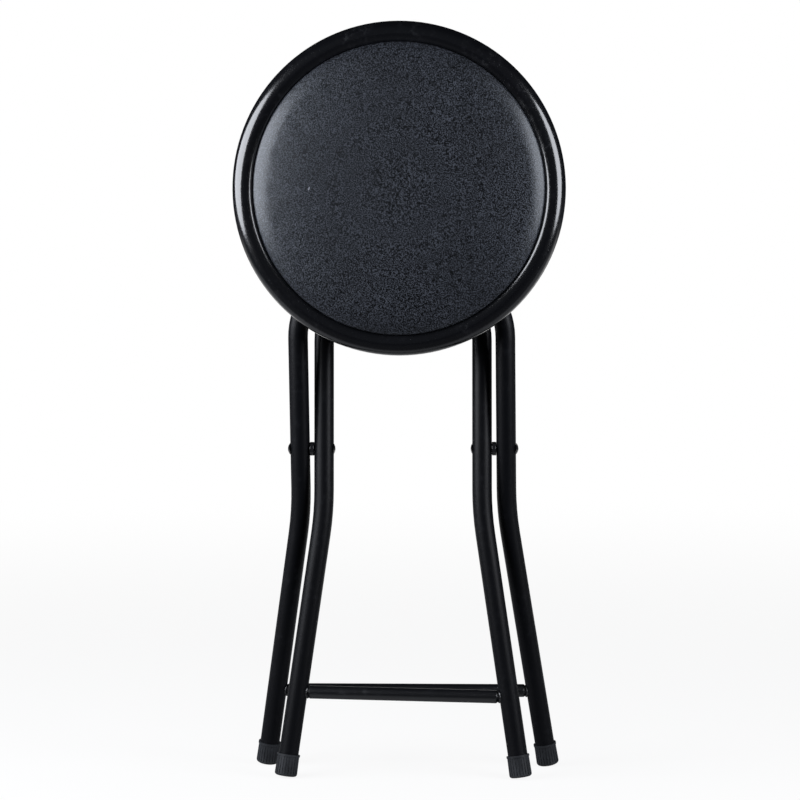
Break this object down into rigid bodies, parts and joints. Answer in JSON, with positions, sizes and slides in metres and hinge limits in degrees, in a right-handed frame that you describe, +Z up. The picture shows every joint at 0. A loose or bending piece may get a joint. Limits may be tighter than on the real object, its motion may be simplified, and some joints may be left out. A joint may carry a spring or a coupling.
{
  "type": "folding stool",
  "caption": "Round padded folding stool of bent black steel tube, stored folded flat; its crossed leg frames and its seat swing open together.",
  "frame": {"origin": "middle of the folded stool's bounding box, on the floor under the foot caps", "axes": "+X across the stool, along the pivot rivets; +Y towards the back, so the folded seat's padded face looks along -Y; +Z up"},
  "size_m": [0.3, 0.1022, 0.6864],
  "materials": {
    "black_paint": "satin",
    "rivet_paint": "satin",
    "zinc": "satin",
    "cover": "satin",
    "foam": "matte",
    "board": "matte",
    "catch_plastic": "satin",
    "spacer_plastic": "satin",
    "foot_rubber": "matte"
  },
  "bodies": {
    "pivot": {"pivot_rivet_left": "rivet_paint", "pivot_rivet_right": "rivet_paint", "pivot_spacer_left": "spacer_plastic", "pivot_spacer_right": "spacer_plastic"},
    "outer_frame": {"foot_outer_left": "foot_rubber", "foot_outer_right": "foot_rubber", "outer_crossbar": "black_paint", "outer_leg_tube": "black_paint"},
    "inner_frame": {"foot_inner_left": "foot_rubber", "foot_inner_right": "foot_rubber", "inner_crossbar": "black_paint", "inner_leg_tube": "black_paint"},
    "seat": {"catch_cradle": "catch_plastic", "catch_screws": "zinc", "cover_staples": "zinc", "hinge_saddle_left": "black_paint", "hinge_saddle_right": "black_paint", "saddle_screws": "zinc", "seat_board": "board", "seat_cover": "cover", "seat_foam": "foam", "seat_ring": "black_paint", "strap_left": "black_paint", "strap_right": "black_paint", "strap_screws": "zinc"}
  },
  "joints": [
    {"name": "outer_leg_fold", "type": "hinge", "parent": "pivot", "child": "outer_frame", "pos_m": [0, 0.00985, 0.29882], "axis": [1, 0, 0], "range_deg": [0, 19]},
    {"name": "inner_leg_fold", "type": "hinge", "parent": "pivot", "child": "inner_frame", "pos_m": [0, 0.00985, 0.29882], "axis": [1, 0, 0], "range_deg": [-19, 0]},
    {"name": "seat_fold", "type": "hinge", "parent": "outer_frame", "child": "seat", "pos_m": [0, -0.00782, 0.46689], "axis": [1, 0, 0], "range_deg": [-109, 0]}
  ],
  "couplings": [
    {"joint": "inner_leg_fold", "follows": "outer_leg_fold", "ratio": -1},
    {"joint": "seat_fold", "follows": "outer_leg_fold", "ratio": -5.7368}
  ]
}
